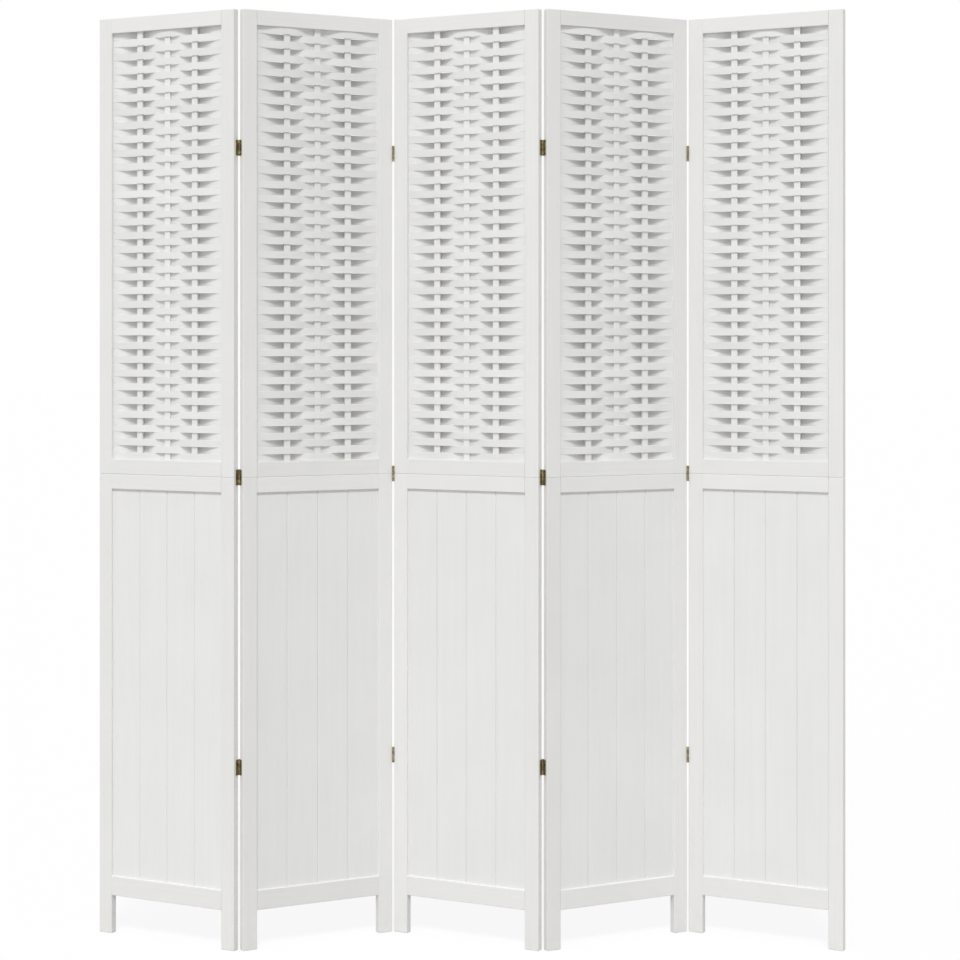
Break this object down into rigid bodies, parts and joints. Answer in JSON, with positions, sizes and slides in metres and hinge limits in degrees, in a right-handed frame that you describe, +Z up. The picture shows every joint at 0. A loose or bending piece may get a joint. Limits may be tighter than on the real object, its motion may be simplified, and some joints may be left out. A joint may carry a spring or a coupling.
{
  "type": "folding screen",
  "caption": "Free-standing folding screen of narrow hinged panels, woven slats above and a grooved board below, standing in a zigzag on its legs.",
  "frame": {"origin": "on the floor, under the middle of the standing screen's box, at the middle of panel_3", "axes": "+Z up, +X to the right along the screen as it is seen from the front, -Y out of its front"},
  "size_m": [1.3688, 0.1524, 1.7],
  "materials": {
    "frame_paint": "white satin paint on wood",
    "board_paint": "white satin paint on board",
    "stick_paint": "white satin paint on wood",
    "slat_paint": "white satin paint on veneer",
    "hinge_bronze": "antique bronze plate",
    "pin_bronze": "antique bronze plate",
    "screw_bronze": "antique brass plate",
    "bare_wood": "bare beech"
  },
  "bodies": {
    "panel_1": {"panel_1_lower_stiles": "frame_paint", "panel_1_lower_rails": "frame_paint", "panel_1_board": "board_paint", "panel_1_upper_stiles": "frame_paint", "panel_1_upper_rails": "frame_paint", "panel_1_weave_sticks": "stick_paint", "panel_1_weave_slats": "slat_paint", "panel_1_frame_dowels": "bare_wood", "panel_1_hinge_screws": "screw_bronze", "fold_1_left_leaves": "hinge_bronze", "fold_1_pins": "pin_bronze"},
    "panel_2": {"panel_2_lower_stiles": "frame_paint", "panel_2_lower_rails": "frame_paint", "panel_2_board": "board_paint", "panel_2_upper_stiles": "frame_paint", "panel_2_upper_rails": "frame_paint", "panel_2_weave_sticks": "stick_paint", "panel_2_weave_slats": "slat_paint", "panel_2_frame_dowels": "bare_wood", "panel_2_hinge_screws": "screw_bronze", "fold_1_right_leaves": "hinge_bronze", "fold_2_left_leaves": "hinge_bronze", "fold_2_pins": "pin_bronze"},
    "panel_3": {"panel_3_lower_stiles": "frame_paint", "panel_3_lower_rails": "frame_paint", "panel_3_board": "board_paint", "panel_3_upper_stiles": "frame_paint", "panel_3_upper_rails": "frame_paint", "panel_3_weave_sticks": "stick_paint", "panel_3_weave_slats": "slat_paint", "panel_3_frame_dowels": "bare_wood", "panel_3_hinge_screws": "screw_bronze", "fold_2_right_leaves": "hinge_bronze", "fold_3_left_leaves": "hinge_bronze", "fold_3_pins": "pin_bronze"},
    "panel_4": {"panel_4_lower_stiles": "frame_paint", "panel_4_lower_rails": "frame_paint", "panel_4_board": "board_paint", "panel_4_upper_stiles": "frame_paint", "panel_4_upper_rails": "frame_paint", "panel_4_weave_sticks": "stick_paint", "panel_4_weave_slats": "slat_paint", "panel_4_frame_dowels": "bare_wood", "panel_4_hinge_screws": "screw_bronze", "fold_3_right_leaves": "hinge_bronze", "fold_4_left_leaves": "hinge_bronze", "fold_4_pins": "pin_bronze"},
    "panel_5": {"panel_5_lower_stiles": "frame_paint", "panel_5_lower_rails": "frame_paint", "panel_5_board": "board_paint", "panel_5_upper_stiles": "frame_paint", "panel_5_upper_rails": "frame_paint", "panel_5_weave_sticks": "stick_paint", "panel_5_weave_slats": "slat_paint", "panel_5_frame_dowels": "bare_wood", "panel_5_hinge_screws": "screw_bronze", "fold_4_right_leaves": "hinge_bronze"}
  },
  "joints": [
    {"name": "fold_1", "type": "hinge", "parent": "panel_2", "child": "panel_1", "pos_m": [-0.41183, -0.06314, 0.9], "axis": [0, 0, -1], "range_deg": [-56, 124]},
    {"name": "fold_2", "type": "hinge", "parent": "panel_3", "child": "panel_2", "pos_m": [-0.13728, 0.06314, 0.9], "axis": [0, 0, 1], "range_deg": [-56, 120]},
    {"name": "fold_3", "type": "hinge", "parent": "panel_3", "child": "panel_4", "pos_m": [0.13728, -0.06314, 0.9], "axis": [0, 0, 1], "range_deg": [-56, 120]},
    {"name": "fold_4", "type": "hinge", "parent": "panel_4", "child": "panel_5", "pos_m": [0.41183, 0.06314, 0.9], "axis": [0, 0, -1], "range_deg": [-56, 124]}
  ]
}
